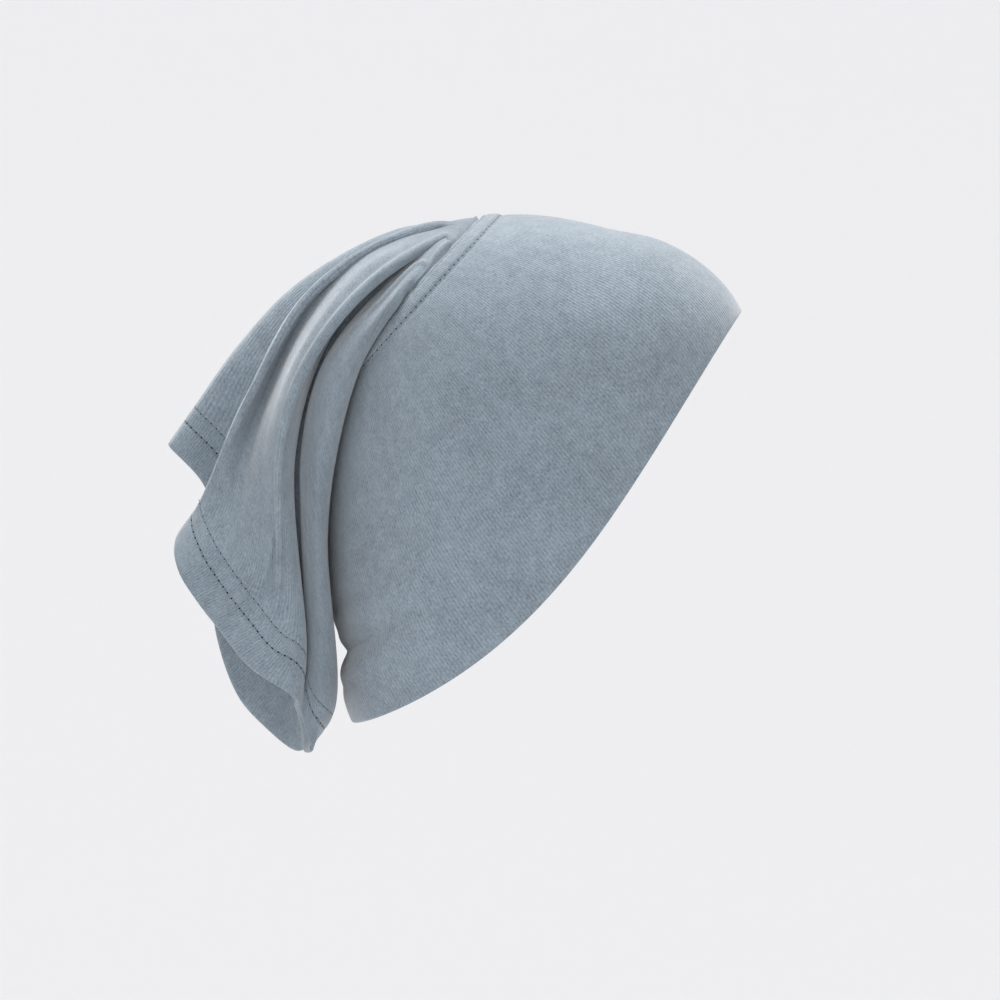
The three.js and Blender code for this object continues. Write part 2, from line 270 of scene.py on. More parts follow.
def jersey_material(name):
    """Jersey with the heather of its yarn and painted shade between its loops in the colour, and its
    loops in the bump.
    """
    material, tone, surface = new_material(name, roughness=0.92, sheen=0.55)
    flat_cloth = tone.node("ShaderNodeUVMap", {"uv_map": "flat_cloth"})
    across = tone.node("ShaderNodeSeparateXYZ", output=0, Vector=flat_cloth)
    along = tone.node("ShaderNodeSeparateXYZ", output=1, Vector=flat_cloth)
    leg = tone.math("ABSOLUTE", tone.math("FRACT", across / WALE) * 2 - 1)
    rib = 1 - leg * leg
    loop = tone.math("SINE", (along / COURSE + leg * 0.5) * (2 * math.pi))
    knit = rib * (0.84 + loop * 0.16)

    def noise(per_metre, detail):
        """Noise on the flat cloth, so many times a metre across and along it."""
        stretched = tone.node(
            "ShaderNodeVectorMath", {"operation": "MULTIPLY"}, i0=flat_cloth, i1=(*per_metre, 1)
        )
        return tone.node(
            "ShaderNodeTexNoise", Vector=stretched, Scale=1.0, Detail=detail, Roughness=0.65
        )

    fibres = noise(FIBRES, 2.0)
    heather = noise(HEATHER, 3.0)
    patches = noise(PATCHES, 2.0)
    # The knit term paints shade into the gaps between wales and loops. The three noises are the yarn's
    # own heather.
    yarn_and_loop_shade = 0.12 + knit * 0.36 + (fibres - 0.5) * 1.7 + (heather - 0.5) * 0.9 + patches * 0.55
    colour = tone.node(
        "ShaderNodeMix",
        {"data_type": "RGBA"},
        output=2,
        Factor=tone.node("ShaderNodeClamp", Value=yarn_and_loop_shade),
        A=SHADE_COLOUR,
        B=CLOTH_COLOUR,
    )
    material.node_tree.links.new(colour.socket, surface.inputs["Base Color"])
    relief = knit + fibres * 0.8 + heather * 0.6
    bump = tone.node("ShaderNodeBump", Strength=0.7, Distance=LOOP_DEPTH, Height=relief)
    material.node_tree.links.new(bump.socket, surface.inputs["Normal"])
    return material


jersey = jersey_material("slate_jersey")
print("Jersey wales:", WALE / MM, "mm apart")

# %% [markdown]
# ## The head that shapes the cap
#
# Stretched jersey has no form of its own: it takes the form of the head inside it. So the first thing
# to describe is a smooth round form, by how far it reaches from its centre at a few angles seen from
# the side, and by its half width. Every point of the band is then a point pushed out onto that form.

# %% Describe the head's form
HEAD_HALF_WIDTH = 72 * MM
HEAD_PROBE = 0.5 * MM  # how far each way the form is felt, to find which way it faces
HEAD_OUTLINE = [  # degrees up from straight ahead, and reach as a share of CROWN_HEIGHT
    (0, 1.235), (26, 1.256), (36, 1.231), (49, 1.157), (63, 1.053), (90, 1.0), (112, 0.993),
    (142, 0.937), (173, 0.88), (202, 0.955), (229, 1.245), (243.4, 1.612), (264, 1.98),
    (288, 2.04), (316, 1.7), (342, 1.32),
]


def smoothstep(values, start, end):
    """A soft step from 0 at the start to 1 at the end."""
    share = np.clip((values - start) / (end - start), 0, 1)
    return share * share * (3 - 2 * share)


def bell(distance, middle, height, half_width):
    """A bell curve, by which cloth is raised or sunk along a crease, a seam or a row of stitches."""
    return height * np.exp(-(((distance - middle) / half_width) ** 2))


def unit(vectors):
    """Vectors of length 1 in the same directions."""
    return vectors / np.maximum(np.linalg.norm(vectors, axis=-1, keepdims=True), 1e-12)


def head_reach(degrees):
    """How far the head reaches at each angle: a smooth curve through the outline, once round."""
    places, heights = np.array(HEAD_OUTLINE).T
    places = np.concatenate([places[-2:] - 360, places, places[:3] + 360])
    heights = np.concatenate([heights[-2:], heights, heights[:3]])
    at = np.mod(degrees, 360)
    row = np.searchsorted(places, at, side="right") - 1
    slope = np.zeros_like(heights)
    slope[1:-1] = (heights[2:] - heights[:-2]) / (places[2:] - places[:-2])
    span = places[row + 1] - places[row]
    rise = heights[row + 1] - heights[row]
    share = (at - places[row]) / span
    bend = (1 - share) * (slope[row] * span - rise) - share * (slope[row + 1] * span - rise)
    return CROWN_HEIGHT * (heights[row] + share * rise + share * (1 - share) * bend)


def head_share(points):
    """How far out each point is, as a share of the way from the head's centre to its surface."""
    x, y, z = np.moveaxis(points, -1, 0)
    profile = np.hypot(x, z) / head_reach(np.degrees(np.arctan2(z, x)))
    return np.hypot(profile, y / HEAD_HALF_WIDTH)


def on_head(points):
    """Points moved straight out from the head's centre, or in, onto its surface."""
    return points / head_share(points)[..., None]


def head_normal(points):
    """The way out of the head at each point."""
    slopes = [
        head_share(points + HEAD_PROBE * axis) - head_share(points - HEAD_PROBE * axis)
        for axis in np.eye(3)
    ]
    return unit(np.stack(slopes, axis=-1))


def outline_point(degrees):
    """The point of the head's outline, seen from the side, at an angle up from straight ahead."""
    turned = math.radians(degrees)
    return np.array([math.cos(turned), 0, math.sin(turned)]) * head_reach(degrees)


print("Head length:", round(float(head_reach(0) + head_reach(180)) / MM), "mm")

# %% [markdown]
# ## The seam, the front edge, and the lines between them
#
# Seen from the side the seam is a straight slanting line and the front edge a line that bows down
# behind the ear. Both are rings on the head. A line over the head from the seam forward to the front
# edge is a wale of the band, and its length says how much cloth lies there.

# %% Lay the rings on the head
RIM_DEGREES = {"brow": 25.5, "nape": 243.4}
SEAM_DEGREES = {"crown": 95.7, "back": 172.9}
RIM_BOW = 22 * MM  # how far the front edge bows below a straight line
RIM_BOW_SKEW = 1.43
RIM_BOW_FULLNESS = 0.8

seam_top = outline_point(SEAM_DEGREES["crown"])
seam_back = outline_point(SEAM_DEGREES["back"])
ahead_of_seam = unit(np.cross(seam_back - seam_top, SIDEWAYS))
brow = outline_point(RIM_DEGREES["brow"])
nape = outline_point(RIM_DEGREES["nape"])


def ring_point(first, second, bow, turn):
    """A ring on the head that shows from the side as a line. turn goes round from 0 to 1."""
    turn = np.asarray(turn, dtype=float)
    share = (1 - np.cos(2 * math.pi * turn)) / 2
    below = unit(np.cross(second - first, SIDEWAYS))
    sag = bow * np.abs(np.sin(math.pi * share**RIM_BOW_SKEW)) ** RIM_BOW_FULLNESS
    points = first + (second - first) * share[..., None] + below * sag[..., None]
    width = HEAD_HALF_WIDTH * np.sqrt(np.maximum(0, 1 - head_share(points) ** 2))
    points[..., 1] = -np.sign(np.sin(2 * math.pi * turn)) * width
    return points


def wales_over_head(turns, steps, start=0.0):
    """Lines on the head from the seam to the front edge, one for each turn, in so many steps. They can
    start a share of their length behind the seam."""
    seam = ring_point(seam_top, seam_back, 0, turns)
    rim = ring_point(brow, nape, RIM_BOW, turns)
    shares = np.linspace(start, 1, steps + 1)[:, None, None]
    return on_head(seam + (rim - seam) * shares)


# %% [markdown]
# ## Cloth forms
#
# A form is the smooth surface that a piece of cloth follows: rings of points, one after another along
# the cloth. Cloth is measured by its length, so a form can be asked for the points at any distance
# along each of its lines, with the way out of the cloth and the way onward there.

# %% Define a cloth form


class Form:
    """Rings of points round the cap, from the start of the cloth to its end, head centre at 0."""

    def __init__(self, rings):
        self.rings = rings
        steps = np.linalg.norm(np.diff(rings, axis=0), axis=-1)
        self.travelled = np.vstack([np.zeros(rings.shape[1]), np.cumsum(steps, axis=0)])
        self.length = self.travelled[-1]
        onward = np.gradient(rings, axis=0)
        around = np.roll(rings, -1, axis=1) - np.roll(rings, 1, axis=1)
        self.onward = unit(onward)
        self.outward = unit(np.cross(around, onward))

    def sample(self, values, distance):
        """One value of each line of the form, at a distance along that line for each row."""
        found = np.empty(distance.shape + (values.shape[-1],))
        for column in range(distance.shape[1]):
            for part in range(values.shape[-1]):
                found[:, column, part] = np.interp(
                    distance[:, column], self.travelled[:, column], values[:, column, part]
                )
        return found

    def at(self, distance):
        """Points, ways out and ways onward, at rows of distances from the start of the cloth."""
        distance = distance + np.zeros(self.rings.shape[1])
        frames = [self.sample(values, distance) for values in (self.rings, self.outward, self.onward)]
        return frames[0], unit(frames[1]), unit(frames[2])


# %% [markdown]
# ## From a flat grid to a piece of cloth
#
# A piece of cloth is modelled from a grid primitive, as it is cut from flat jersey. Its rows go down
# the outer face, round the folded end, and back up the inner face, so two plies and the fold between
# them are one closed wall. The rows and columns are moved onto the form, and where the grid meets
# itself its edges are merged. The grid keeps a UV map in metres of flat cloth for the knit to follow.

# %% Define how cloth is laid
MERGE_DISTANCE = 0.001 * MM


def cross_section(outer_rows, inner_rows, thickness, fold_steps=6):
    """Rows once round a wall of cloth: the distance along, the level from 0 at the inner face to 1 at
    the outer face, and how far the row is pushed out past the cloth's ends."""
    bend = np.linspace(0, math.pi, fold_steps + 1)[1:-1]
    far_end = np.repeat(outer_rows[-1:], len(bend), axis=0)
    near_end = np.repeat(outer_rows[:1], len(bend), axis=0)
    along = np.concatenate([outer_rows, far_end, inner_rows[::-1], near_end, outer_rows[:1]])
    outer, inner = np.ones(len(outer_rows)), np.zeros(len(inner_rows))
    level = np.concatenate([outer, (1 + np.cos(bend)) / 2, inner, (1 - np.cos(bend)) / 2, [1]])
    push = np.concatenate([0 * outer, np.sin(bend), inner, -np.sin(bend), [0]])
    return along, level, push * thickness / 2


def cloth_grid(name, points, cut_width):
    """A grid primitive with its rows and columns moved to their points. The last row lies on the
    first, and the cloth closes round the cap, so both joins are merged."""
    rows, columns = points.shape[:2]
    bpy.ops.mesh.primitive_grid_add(x_subdivisions=columns, y_subdivisions=rows - 1, size=1)
    cloth = bpy.context.object
    cloth.name = name
    cloth.data.name = name
    place = np.empty(len(cloth.data.vertices) * 3)
    cloth.data.vertices.foreach_get("co", place)
    place = place.reshape(-1, 3) + 0.5
    column = np.rint(place[:, 0] * columns).astype(int)
    row = np.rint(place[:, 1] * (rows - 1)).astype(int)
    framed = points[row, column % columns] - CROWN_HEIGHT * UP
    cloth.data.vertices.foreach_set("co", framed.ravel())

    steps = np.linalg.norm(np.roll(points, -1, axis=1) - points, axis=-1).mean(axis=0)
    across = np.concatenate([[0], np.cumsum(steps)]) / steps.sum() * cut_width
    climbs = np.linalg.norm(np.diff(points, axis=0), axis=-1)
    along = np.vstack([np.zeros(columns), np.cumsum(climbs, axis=0)])
    corner = np.empty(len(cloth.data.loops), dtype=int)
    cloth.data.loops.foreach_get("vertex_index", corner)
    flat = np.stack([across[column[corner]], along[row[corner], column[corner] % columns]], axis=-1)
    cloth.data.uv_layers.active.name = "flat_cloth"
    cloth.data.uv_layers.active.data.foreach_set("uv", flat.ravel())
    bpy.ops.object.mode_set(mode="EDIT")
    bpy.ops.mesh.select_all(action="SELECT")
    bpy.ops.mesh.remove_doubles(threshold=MERGE_DISTANCE)
    bpy.ops.object.mode_set(mode="OBJECT")
    bpy.ops.object.shade_smooth()
    return cloth


def finish_piece(piece, material, nodes=()):
    """Gives a piece its finish, hides the plain walls that it stands for, and sets it on the root body.
    """
    piece.data.materials.append(material)
    if nodes:
        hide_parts(*nodes)
    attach(piece, "root")
    print(piece.name, "has", len(piece.data.polygons), "faces")


def cloth_wall(form, outer_rows, inner_rows, inner_height, outer_height):
    """Points once round the cross section of a wall of cloth. outer_height is a function of the
    distance along and the share of the way round."""
    columns = form.rings.shape[1]
    around = np.arange(columns) / columns
    edge_thickness = np.max(outer_height(outer_rows[-1:], around)) - inner_height
    along, level, push = cross_section(outer_rows, inner_rows, edge_thickness)
    points, outward, onward = form.at(along)
    height = inner_height + (outer_height(along, around) - inner_height) * level[:, None]
    return points + outward * height[..., None] + onward * push[:, None, None]


# %% [markdown]
# ## The band
#
# The band is two plies of jersey with a plain fold, and no stitches, at its front edge. It lies on the
# head everywhere but at the nape, where it has slid up a little and a soft crease runs from its back
# edge toward the ear. The crease is a shallow trough along a line, with finer ones beside it.

# %% Sew the band
BAND_WALL = 2 * MM
BAND_WALES = 400  # columns of loops in the cloth, once round
BAND_PRESSED = 0.55  # share of its thickness that the band keeps under the strip
PRESSED_STEP = 1.5 * MM  # the band thickens over this far on each side of the strip's edge
SEAM_WIDTH = 7.5 * MM  # of the strip over the seam
SEAM_OVERLAP = 1.2 * MM  # how far the band runs on under the strip
NAPE_CREASES = [  # degrees on the outline, rise in degrees, depth, width and length in millimetres
    (234.4, 30, 3.4, 11, 72), (234.0, 31, 1.1, 6, 120), (231.2, 24, 0.9, 7, 70), (238.6, 31, 0.8, 6, 60),
    (226.5, 22, 0.5, 8, 75),
]
BAND_STEPS = 240  # rings in the band's form
BAND_COLUMNS = 480
BAND_ROWS = 110
BAND_INNER_ROWS = 28


def crease_depth(points):
    """How far the band is sunk at each point by the creases that run from the nape to the ear."""
    depth = 0
    for start, rise, deep, wide, long in NAPE_CREASES:
        rise = math.radians(rise)
        across_from, up_from = np.moveaxis(points - outline_point(start), -1, 0)[[0, 2]]
        along = across_from * math.cos(rise) + up_from * math.sin(rise)
        across = up_from * math.cos(rise) - across_from * math.sin(rise)
        fade = 1 - smoothstep(along, 0, long * MM)
        depth = depth + bell(across, 0, deep * MM * fade, wide * MM / 2)
    return depth


band_turns = np.arange(BAND_COLUMNS) / BAND_COLUMNS
band_rings = wales_over_head(band_turns, BAND_STEPS)
band_rings = band_rings - head_normal(band_rings) * crease_depth(band_rings)[..., None]
band_form = Form(band_rings)
band_start = SEAM_WIDTH - SEAM_OVERLAP
band_span = band_form.length - BAND_WALL / 2 - band_start
band_rows = band_start + np.linspace(0, 1, BAND_ROWS)[:, None] * band_span
band_inner_rows = band_start + np.linspace(0, 1, BAND_INNER_ROWS)[:, None] * band_span


def band_height(along, around):
    """The band is pressed thin where it runs under the strip."""
    clear = smoothstep(along, SEAM_WIDTH - PRESSED_STEP, SEAM_WIDTH + PRESSED_STEP)
    return BAND_WALL * (BAND_PRESSED + (1 - BAND_PRESSED) * clear)


bpy.ops.object.select_all(action="DESELECT")
band_points = cloth_wall(band_form, band_rows, band_inner_rows, 0, band_height)
headband = cloth_grid("headband_cloth", band_points, WALE * BAND_WALES)
finish_piece(headband, jersey, ["headband"])

# %% [markdown]
# ## The tube's folds
#
# The tube falls in folds that were read from the photograph, one row of a table for each ridge and
# valley. A row says where the fold starts on the seam, where it passes at five places on its way down,
# and which way its end swings. A smooth curve goes through the places of a row, and a smooth ring
# through all the rows at one height.

# %% Lay the folds
DRAPE_REACH = 132 * MM  # back from the top of the seam
DRAPE_DROP = 224 * MM  # and down from it
DRAPE_HALF_WIDTH = 56 * MM
DRAPE_WALL = 1.2 * MM
HEM_WIDTH = 20 * MM
JOINT_GAP = 0.4 * MM  # between the band's cloth and the tube's, at the seam
REST_CLEARANCE = 0.8 * MM  # between the head and the tube where it lies on the head
REST_EASE = 1 * MM  # how softly the tube comes to lie there
SEAM_WALL = 2.8 * MM  # the strip and the band under it
CLEAR_FROM = 0.06  # share of the way down by which the tube has left the seam
SEAM_STEPS = 200  # the first of so many steps toward the front edge gives the way ahead at the seam
# Each row holds a fold line's name, its root on the seam as a share of the way down one side, and how
# its end leans back, in degrees. Then come its five places: how far back, how far toward the camera and
# how far down they lie from the top of the seam, as shares of the three sizes above.
FOLDS = [
    ("top", 0, 36,
     (0.059, 0.273, 0.584, 0.769, 0.903), (0, 0, 0, -0.02, -0.04),
     (0.002, 0.02, 0.121, 0.235, 0.351)),
    ("near top crest", 0.06, 35,
     (0.066, 0.278, 0.588, 0.771, 0.906), (0.09, 0.14, 0.21, 0.25, 0.27),
     (0.005, 0.019, 0.121, 0.236, 0.349)),
    ("near top valley", 0.1, 40,
     (0.103, 0.306, 0.538, 0.694, 0.778), (0.16, 0.25, 0.38, 0.45, 0.36),
     (0.008, 0.043, 0.156, 0.299, 0.438)),
    ("near ridge 1", 0.145, 34,
     (0.122, 0.329, 0.56, 0.733, 0.882), (0.23, 0.41, 0.59, 0.73, 0.67),
     (0.013, 0.049, 0.152, 0.332, 0.524)),
    ("near valley 1", 0.18, 46,
     (0.122, 0.374, 0.574, 0.714, 0.844), (0.27, 0.39, 0.48, 0.61, 0.82),
     (0.021, 0.076, 0.185, 0.359, 0.588)),
    ("near flank 2", 0.215, 55,
     (0.128, 0.353, 0.526, 0.655, 0.774), (0.34, 0.61, 0.79, 0.89, 0.89),
     (0.027, 0.082, 0.198, 0.357, 0.651)),
    ("near ridge 2", 0.26, 55,
     (0.115, 0.326, 0.527, 0.638, 0.692), (0.45, 0.75, 0.93, 1.02, 0.91),
     (0.036, 0.106, 0.238, 0.389, 0.713)),
    ("near panel", 0.285, 46,
     (0.121, 0.326, 0.518, 0.617, 0.621), (0.45, 0.75, 0.89, 0.98, 0.88),
     (0.043, 0.113, 0.247, 0.416, 0.765)),
    ("near edge 2", 0.31, 12,
     (0.147, 0.346, 0.513, 0.602, 0.566), (0.43, 0.68, 0.82, 0.91, 0.8),
     (0.056, 0.12, 0.248, 0.434, 0.794)),
    ("near crevice", 0.34, 6,
     (0.171, 0.346, 0.502, 0.586, 0.559), (0.5, 0.64, 0.7, 0.75, 0.64),
     (0.072, 0.138, 0.26, 0.448, 0.825)),
    ("near roll crest", 0.38, 6,
     (0.196, 0.326, 0.487, 0.56, 0.537), (0.68, 0.84, 0.89, 0.82, 0.64),
     (0.09, 0.164, 0.272, 0.441, 0.873)),
    ("near roll", 0.44, 12,
     (0.229, 0.343, 0.458, 0.527, 0.509), (0.82, 0.95, 0.98, 0.91, 0.64),
     (0.123, 0.199, 0.31, 0.46, 0.895)),
    ("near roll edge", 0.52, 35,
     (0.272, 0.381, 0.46, 0.498, 0.477), (0.88, 0.89, 0.84, 0.77, 0.48),
     (0.171, 0.269, 0.421, 0.577, 0.913)),
    ("near tuck", 0.67, 30,
     (0.402, 0.44, 0.478, 0.498, 0.495), (0.73, 0.68, 0.61, 0.55, 0.3),
     (0.246, 0.341, 0.452, 0.596, 0.88)),
    ("near back", 0.84, 22,
     (0.496, 0.529, 0.548, 0.543, 0.526), (0.38, 0.39, 0.39, 0.32, 0.16),
     (0.311, 0.393, 0.532, 0.681, 0.846)),
    ("back", 1, 20,
     (0.53, 0.573, 0.585, 0.573, 0.548), (0, 0, 0, 0, -0.04),
     (0.325, 0.392, 0.532, 0.682, 0.823)),
    ("far back", -0.84, 22,
     (0.496, 0.54, 0.56, 0.552, 0.532), (-0.38, -0.39, -0.43, -0.36, -0.25),
     (0.311, 0.391, 0.532, 0.684, 0.838)),
    ("far tuck", -0.68, 24,
     (0.41, 0.466, 0.498, 0.517, 0.515), (-0.71, -0.68, -0.64, -0.57, -0.43),
     (0.24, 0.352, 0.475, 0.627, 0.866)),
    ("far roll", -0.54, 10,
     (0.31, 0.398, 0.496, 0.54, 0.549), (-0.84, -0.93, -0.96, -0.86, -0.59),
     (0.16, 0.264, 0.417, 0.59, 0.901)),
    ("far crevice", -0.42, 12,
     (0.222, 0.357, 0.525, 0.597, 0.578), (-0.77, -0.75, -0.75, -0.75, -0.7),
     (0.11, 0.17, 0.313, 0.494, 0.91)),
    ("far ridge 2", -0.34, 26,
     (0.185, 0.351, 0.547, 0.649, 0.64), (-0.68, -0.82, -0.93, -0.98, -0.86),
     (0.068, 0.131, 0.257, 0.446, 0.877)),
    ("far panel", -0.28, 36,
     (0.15, 0.35, 0.559, 0.678, 0.71), (-0.55, -0.71, -0.86, -0.95, -0.86),
     (0.046, 0.105, 0.238, 0.418, 0.823)),
    ("far flank 1", -0.22, 41,
     (0.125, 0.356, 0.577, 0.695, 0.772), (-0.44, -0.59, -0.75, -0.84, -0.79),
     (0.031, 0.084, 0.204, 0.38, 0.701)),
    ("far valley 1", -0.17, 42,
     (0.118, 0.348, 0.568, 0.698, 0.776), (-0.33, -0.43, -0.54, -0.61, -0.64),
     (0.021, 0.074, 0.187, 0.35, 0.586)),
    ("far ridge 1", -0.12, 38,
     (0.112, 0.315, 0.573, 0.729, 0.8), (-0.24, -0.39, -0.46, -0.54, -0.57),
     (0.011, 0.052, 0.161, 0.297, 0.43)),
    ("far top crest", -0.06, 37,
     (0.072, 0.265, 0.58, 0.768, 0.902), (-0.1, -0.16, -0.23, -0.28, -0.28),
     (-0.001, 0.031, 0.131, 0.248, 0.352)),
]


def smooth_through(points, at, closed):
    """Points at shares of the way along a centripetal Catmull-Rom curve through rows of points."""
    count = len(points)
    if closed:
        place = np.mod(at, 1) * count
        first = np.floor(place).astype(int)
        before, start, end, after = (points[(first + step) % count] for step in (-1, 0, 1, 2))
    else:
        ends = 2 * points[0] - points[1], 2 * points[-1] - points[-2]
        padded = np.concatenate([ends[0][None], points, ends[1][None]])
        place = at * (count - 1)
        first = np.clip(np.floor(place), 0, count - 2).astype(int)
        before, start, end, after = (padded[first + step] for step in range(4))
    share = (place - first).reshape((-1,) + (1,) * (points.ndim - 1))
    gaps = [
        np.sqrt(np.maximum(np.linalg.norm(b - a, axis=-1, keepdims=True), 1e-9))
        for a, b in ((before, start), (start, end), (end, after))
    ]
    leave = (start - before) / gaps[0] - (end - before) / (gaps[0] + gaps[1]) + (end - start) / gaps[1]
    arrive = (end - start) / gaps[1] - (after - start) / (gaps[1] + gaps[2]) + (after - end) / gaps[2]
    leave, arrive = leave * gaps[1], arrive * gaps[1]
    bent = 3 * (end - start) - 2 * leave - arrive
    return start + share * (leave + share * (bent + share * (leave + arrive - 2 * (end - start))))


def seam_frame(turns):
    """Points on the seam, the ways out of the head there, and the ways back over it."""
    lines = wales_over_head(turns, SEAM_STEPS)
    return lines[0], head_normal(lines[0]), unit(lines[0] - lines[1])


def fold_lines(shares):
    """Every fold line's points at shares of its way down: fold lines in columns."""
    roots = np.array([row[1] for row in FOLDS])
    leans = np.radians([row[2] for row in FOLDS])
    seam, normal, back = seam_frame(roots / 2)
    start = seam + normal * BAND_WALL / 2 + back * (JOINT_GAP + DRAPE_WALL / 2)
    scale = np.array([-DRAPE_REACH, -DRAPE_HALF_WIDTH, -DRAPE_DROP])
    stations = np.array([np.stack(row[3:6], axis=-1) for row in FOLDS]) * scale + seam_top * [1, 0, 1]
    swing = np.stack([-np.sin(leans), 0 * leans, -np.cos(leans)], axis=-1)
    edge = stations[:, -1] + swing * HEM_WIDTH
    controls = np.concatenate([start[None], np.moveaxis(stations, 1, 0), edge[None]])
    return smooth_through(controls, shares, closed=False)


def clear_of_head(points, shares):
    """Moves the tube out, softly, until it lies on the head behind the seam and on the band ahead."""
    ahead = (points - seam_top) @ ahead_of_seam
    over_band = smoothstep(ahead, -SEAM_WIDTH / 2, -DRAPE_WALL)
    resting = REST_CLEARANCE + DRAPE_WALL / 2 + over_band * SEAM_WALL
    left = smoothstep(shares, 0, CLEAR_FROM)[:, None]
    room = BAND_WALL / 2 + (resting - BAND_WALL / 2) * left
    distance = np.linalg.norm(points, axis=-1)
    out = distance * (1 - 1 / head_share(points))
    wanted = room + REST_EASE * np.logaddexp(0, (out - room) / REST_EASE)
    return points * (1 + left * (wanted - out) / distance)[..., None]


# %% [markdown]
# The smooth folds get a sharper crest or a deeper valley where the photograph shows one. A row of the
# next table gives the fold line that a crease follows, counted in rows of the table above, how far
# down it starts and ends, and its height and half width. Cloth is raised or sunk by a bell curve.

# %% Sharpen the folds
CREASES = [  # fold line, start and end as shares of the way down, height and half width in millimetres
    (3.0, 0.05, 0.95, 1.6, 1.6), (3.5, 0.05, 0.45, 1.2, 1.4), (3.27, 0.05, 0.5, -0.6, 1.1),
    (4.1, 0.12, 0.6, 3.0, 6.0), (4.4, 0.4, 0.9, -0.8, 4.0), (5.3, 0.15, 0.8, 0.8, 4.0),
    (6.4, 0.0, 0.95, 2.2, 1.7), (8.0, 0.08, 0.6, -2.2, 3.6), (9.0, 0.15, 0.98, -4.2, 1.7),
    (9.95, 0.0, 0.5, 1.6, 1.8), (1.6, 0.12, 0.55, 0.5, 2.6), (2.2, 0.1, 0.4, -0.5, 2.0),
    (20.1, 0.12, 0.8, 1.0, 2.4), (24.0, 0.03, 0.8, 1.2, 1.9), (22.6, 0.1, 0.8, -1.0, 4.0),
    (19.0, 0.3, 0.98, -1.4, 2.4), (16.4, 0.2, 0.7, 0.8, 4.0),
]
CREASE_RISE = 0.15  # share of the way down over which a crease gets its full height
CREASE_FALL = 0.25  # share over which it fades out again
DRAPE_COLUMNS = len(FOLDS) * 22
TUBE_STEPS = 420  # rings in the tube's form


def creased(rings, shares):
    """Raises the cloth along the crests of its folds and sinks it along their valleys."""
    columns = rings.shape[1]
    steps = np.linalg.norm(np.roll(rings, -1, axis=1) - rings, axis=-1)
    around = np.cumsum(steps, axis=1) - steps
    raised = np.zeros(rings.shape[:2])
    for fold, start, end, height, width in CREASES:
        column = (1 - fold / len(FOLDS)) * columns
        crest = around[:, int(column)] + steps[:, int(column)] * (column % 1)
        fade = smoothstep(shares, start, start + CREASE_RISE)
        fade = fade * (1 - smoothstep(shares, end - CREASE_FALL, end))
        raised += bell(around, crest[:, None], height * MM * fade[:, None], width * MM)
    return rings + Form(rings).outward * raised[..., None]


def tube_rings(columns):
    """Rings down the whole tube, from the seam to its open edge."""
    shares = np.linspace(0, 1, TUBE_STEPS + 1)
    lines = np.moveaxis(fold_lines(shares), 1, 0)
    around = -np.arange(columns) / columns
    rings = np.moveaxis(smooth_through(lines, around, closed=True), 1, 0)
    return clear_of_head(creased(rings, shares), shares)


tube_form = Form(tube_rings(DRAPE_COLUMNS))
print("Fold lines are", np.round(np.percentile(tube_form.length, (0, 50, 100)) / MM), "mm long")

# %% [markdown]
# ## The tube
#
# The tube is one ply of cloth. It starts under the strip and ends just above the upper row of the
# hem's stitches, where the hem's own cloth goes on. Its two cut edges are joined by a seam of its own,
# a low ridge that crosses the hem between the lines of two folds, and swings aside and fades above it.

# %% Sew the tube
TUBE_WALES = 382  # columns of loops in the tube, its hem and the strip, once round
TUBE_ROWS = 136
TUBE_INNER_ROWS = 26
ROW_CROWDING = 1.5  # rows lie closer near the seam, where the folds start
START_SINK = 1.3 * MM  # how far the cloth is pressed down where it runs under the strip
START_SINK_LENGTH = 6 * MM
CLOSING_SEAM = 5.5 / len(FOLDS)  # where it meets the hem, as a share of the way round
CLOSING_SEAM_ROUND = 460 * MM  # the length round the tube that its ridge and ditch are measured on
CLOSING_SEAM_LEAN = 3 * MM  # how fast it swings aside above the hem
CLOSING_SEAM_FADE = (30 * MM, 60 * MM)  # from the open edge
CLOSING_HALF_WIDTH = 1.6 * MM  # of its ridge, and of the ditch beside it
CLOSING_RIDGE = 1.2 * MM
CLOSING_DITCH = 1 * MM
CLOSING_DITCH_AHEAD = 2.8 * MM

hem_start = tube_form.length - HEM_WIDTH
tube_rows = np.linspace(0, 1, TUBE_ROWS)[:, None] ** ROW_CROWDING * hem_start
tube_inner_rows = np.linspace(0, 1, TUBE_INNER_ROWS)[:, None] ** ROW_CROWDING * hem_start


def closing_seam(from_edge, around):
    """The tube's cloth stands up along the seam that closes it, and falls off sharply ahead of it."""
    aside = np.sqrt(CLOSING_SEAM_LEAN * np.maximum(from_edge - HEM_WIDTH, 0))
    across = (1 - around - CLOSING_SEAM) * CLOSING_SEAM_ROUND - aside
    ridge = bell(across, 0, CLOSING_RIDGE, CLOSING_HALF_WIDTH)
    ditch = bell(across, CLOSING_DITCH_AHEAD, CLOSING_DITCH, CLOSING_HALF_WIDTH)
    return (ridge - ditch) * (1 - smoothstep(from_edge, *CLOSING_SEAM_FADE))


def tube_height(along, around):
    """The tube's face, pressed down at its start and raised along its closing seam."""
    sunk = START_SINK * (1 - smoothstep(along, 0, START_SINK_LENGTH))
    return DRAPE_WALL / 2 - sunk + closing_seam(tube_form.length - along, around)


tube_points = cloth_wall(tube_form, tube_rows, tube_inner_rows, -DRAPE_WALL / 2, tube_height)
bpy.ops.object.select_all(action="DESELECT")
drape = cloth_grid("drape_cloth", tube_points, WALE * TUBE_WALES)
finish_piece(drape, jersey, ["drape"])

# %% Turn up the hem
HEM_COLUMNS = len(FOLDS) * 30
HEM_ROWS = 42
HEM_INNER_ROWS = 10
HEM_WALL = 1.7 * MM
HEM_GAP = 0.1 * MM  # between the tube's end and the hem's start
HEM_STITCH_ROWS = (11.8 * MM, 19 * MM)  # from the open edge
HEM_GROOVE_DEPTH = 0.45 * MM
HEM_GROOVE_HALF_WIDTH = 0.6 * MM

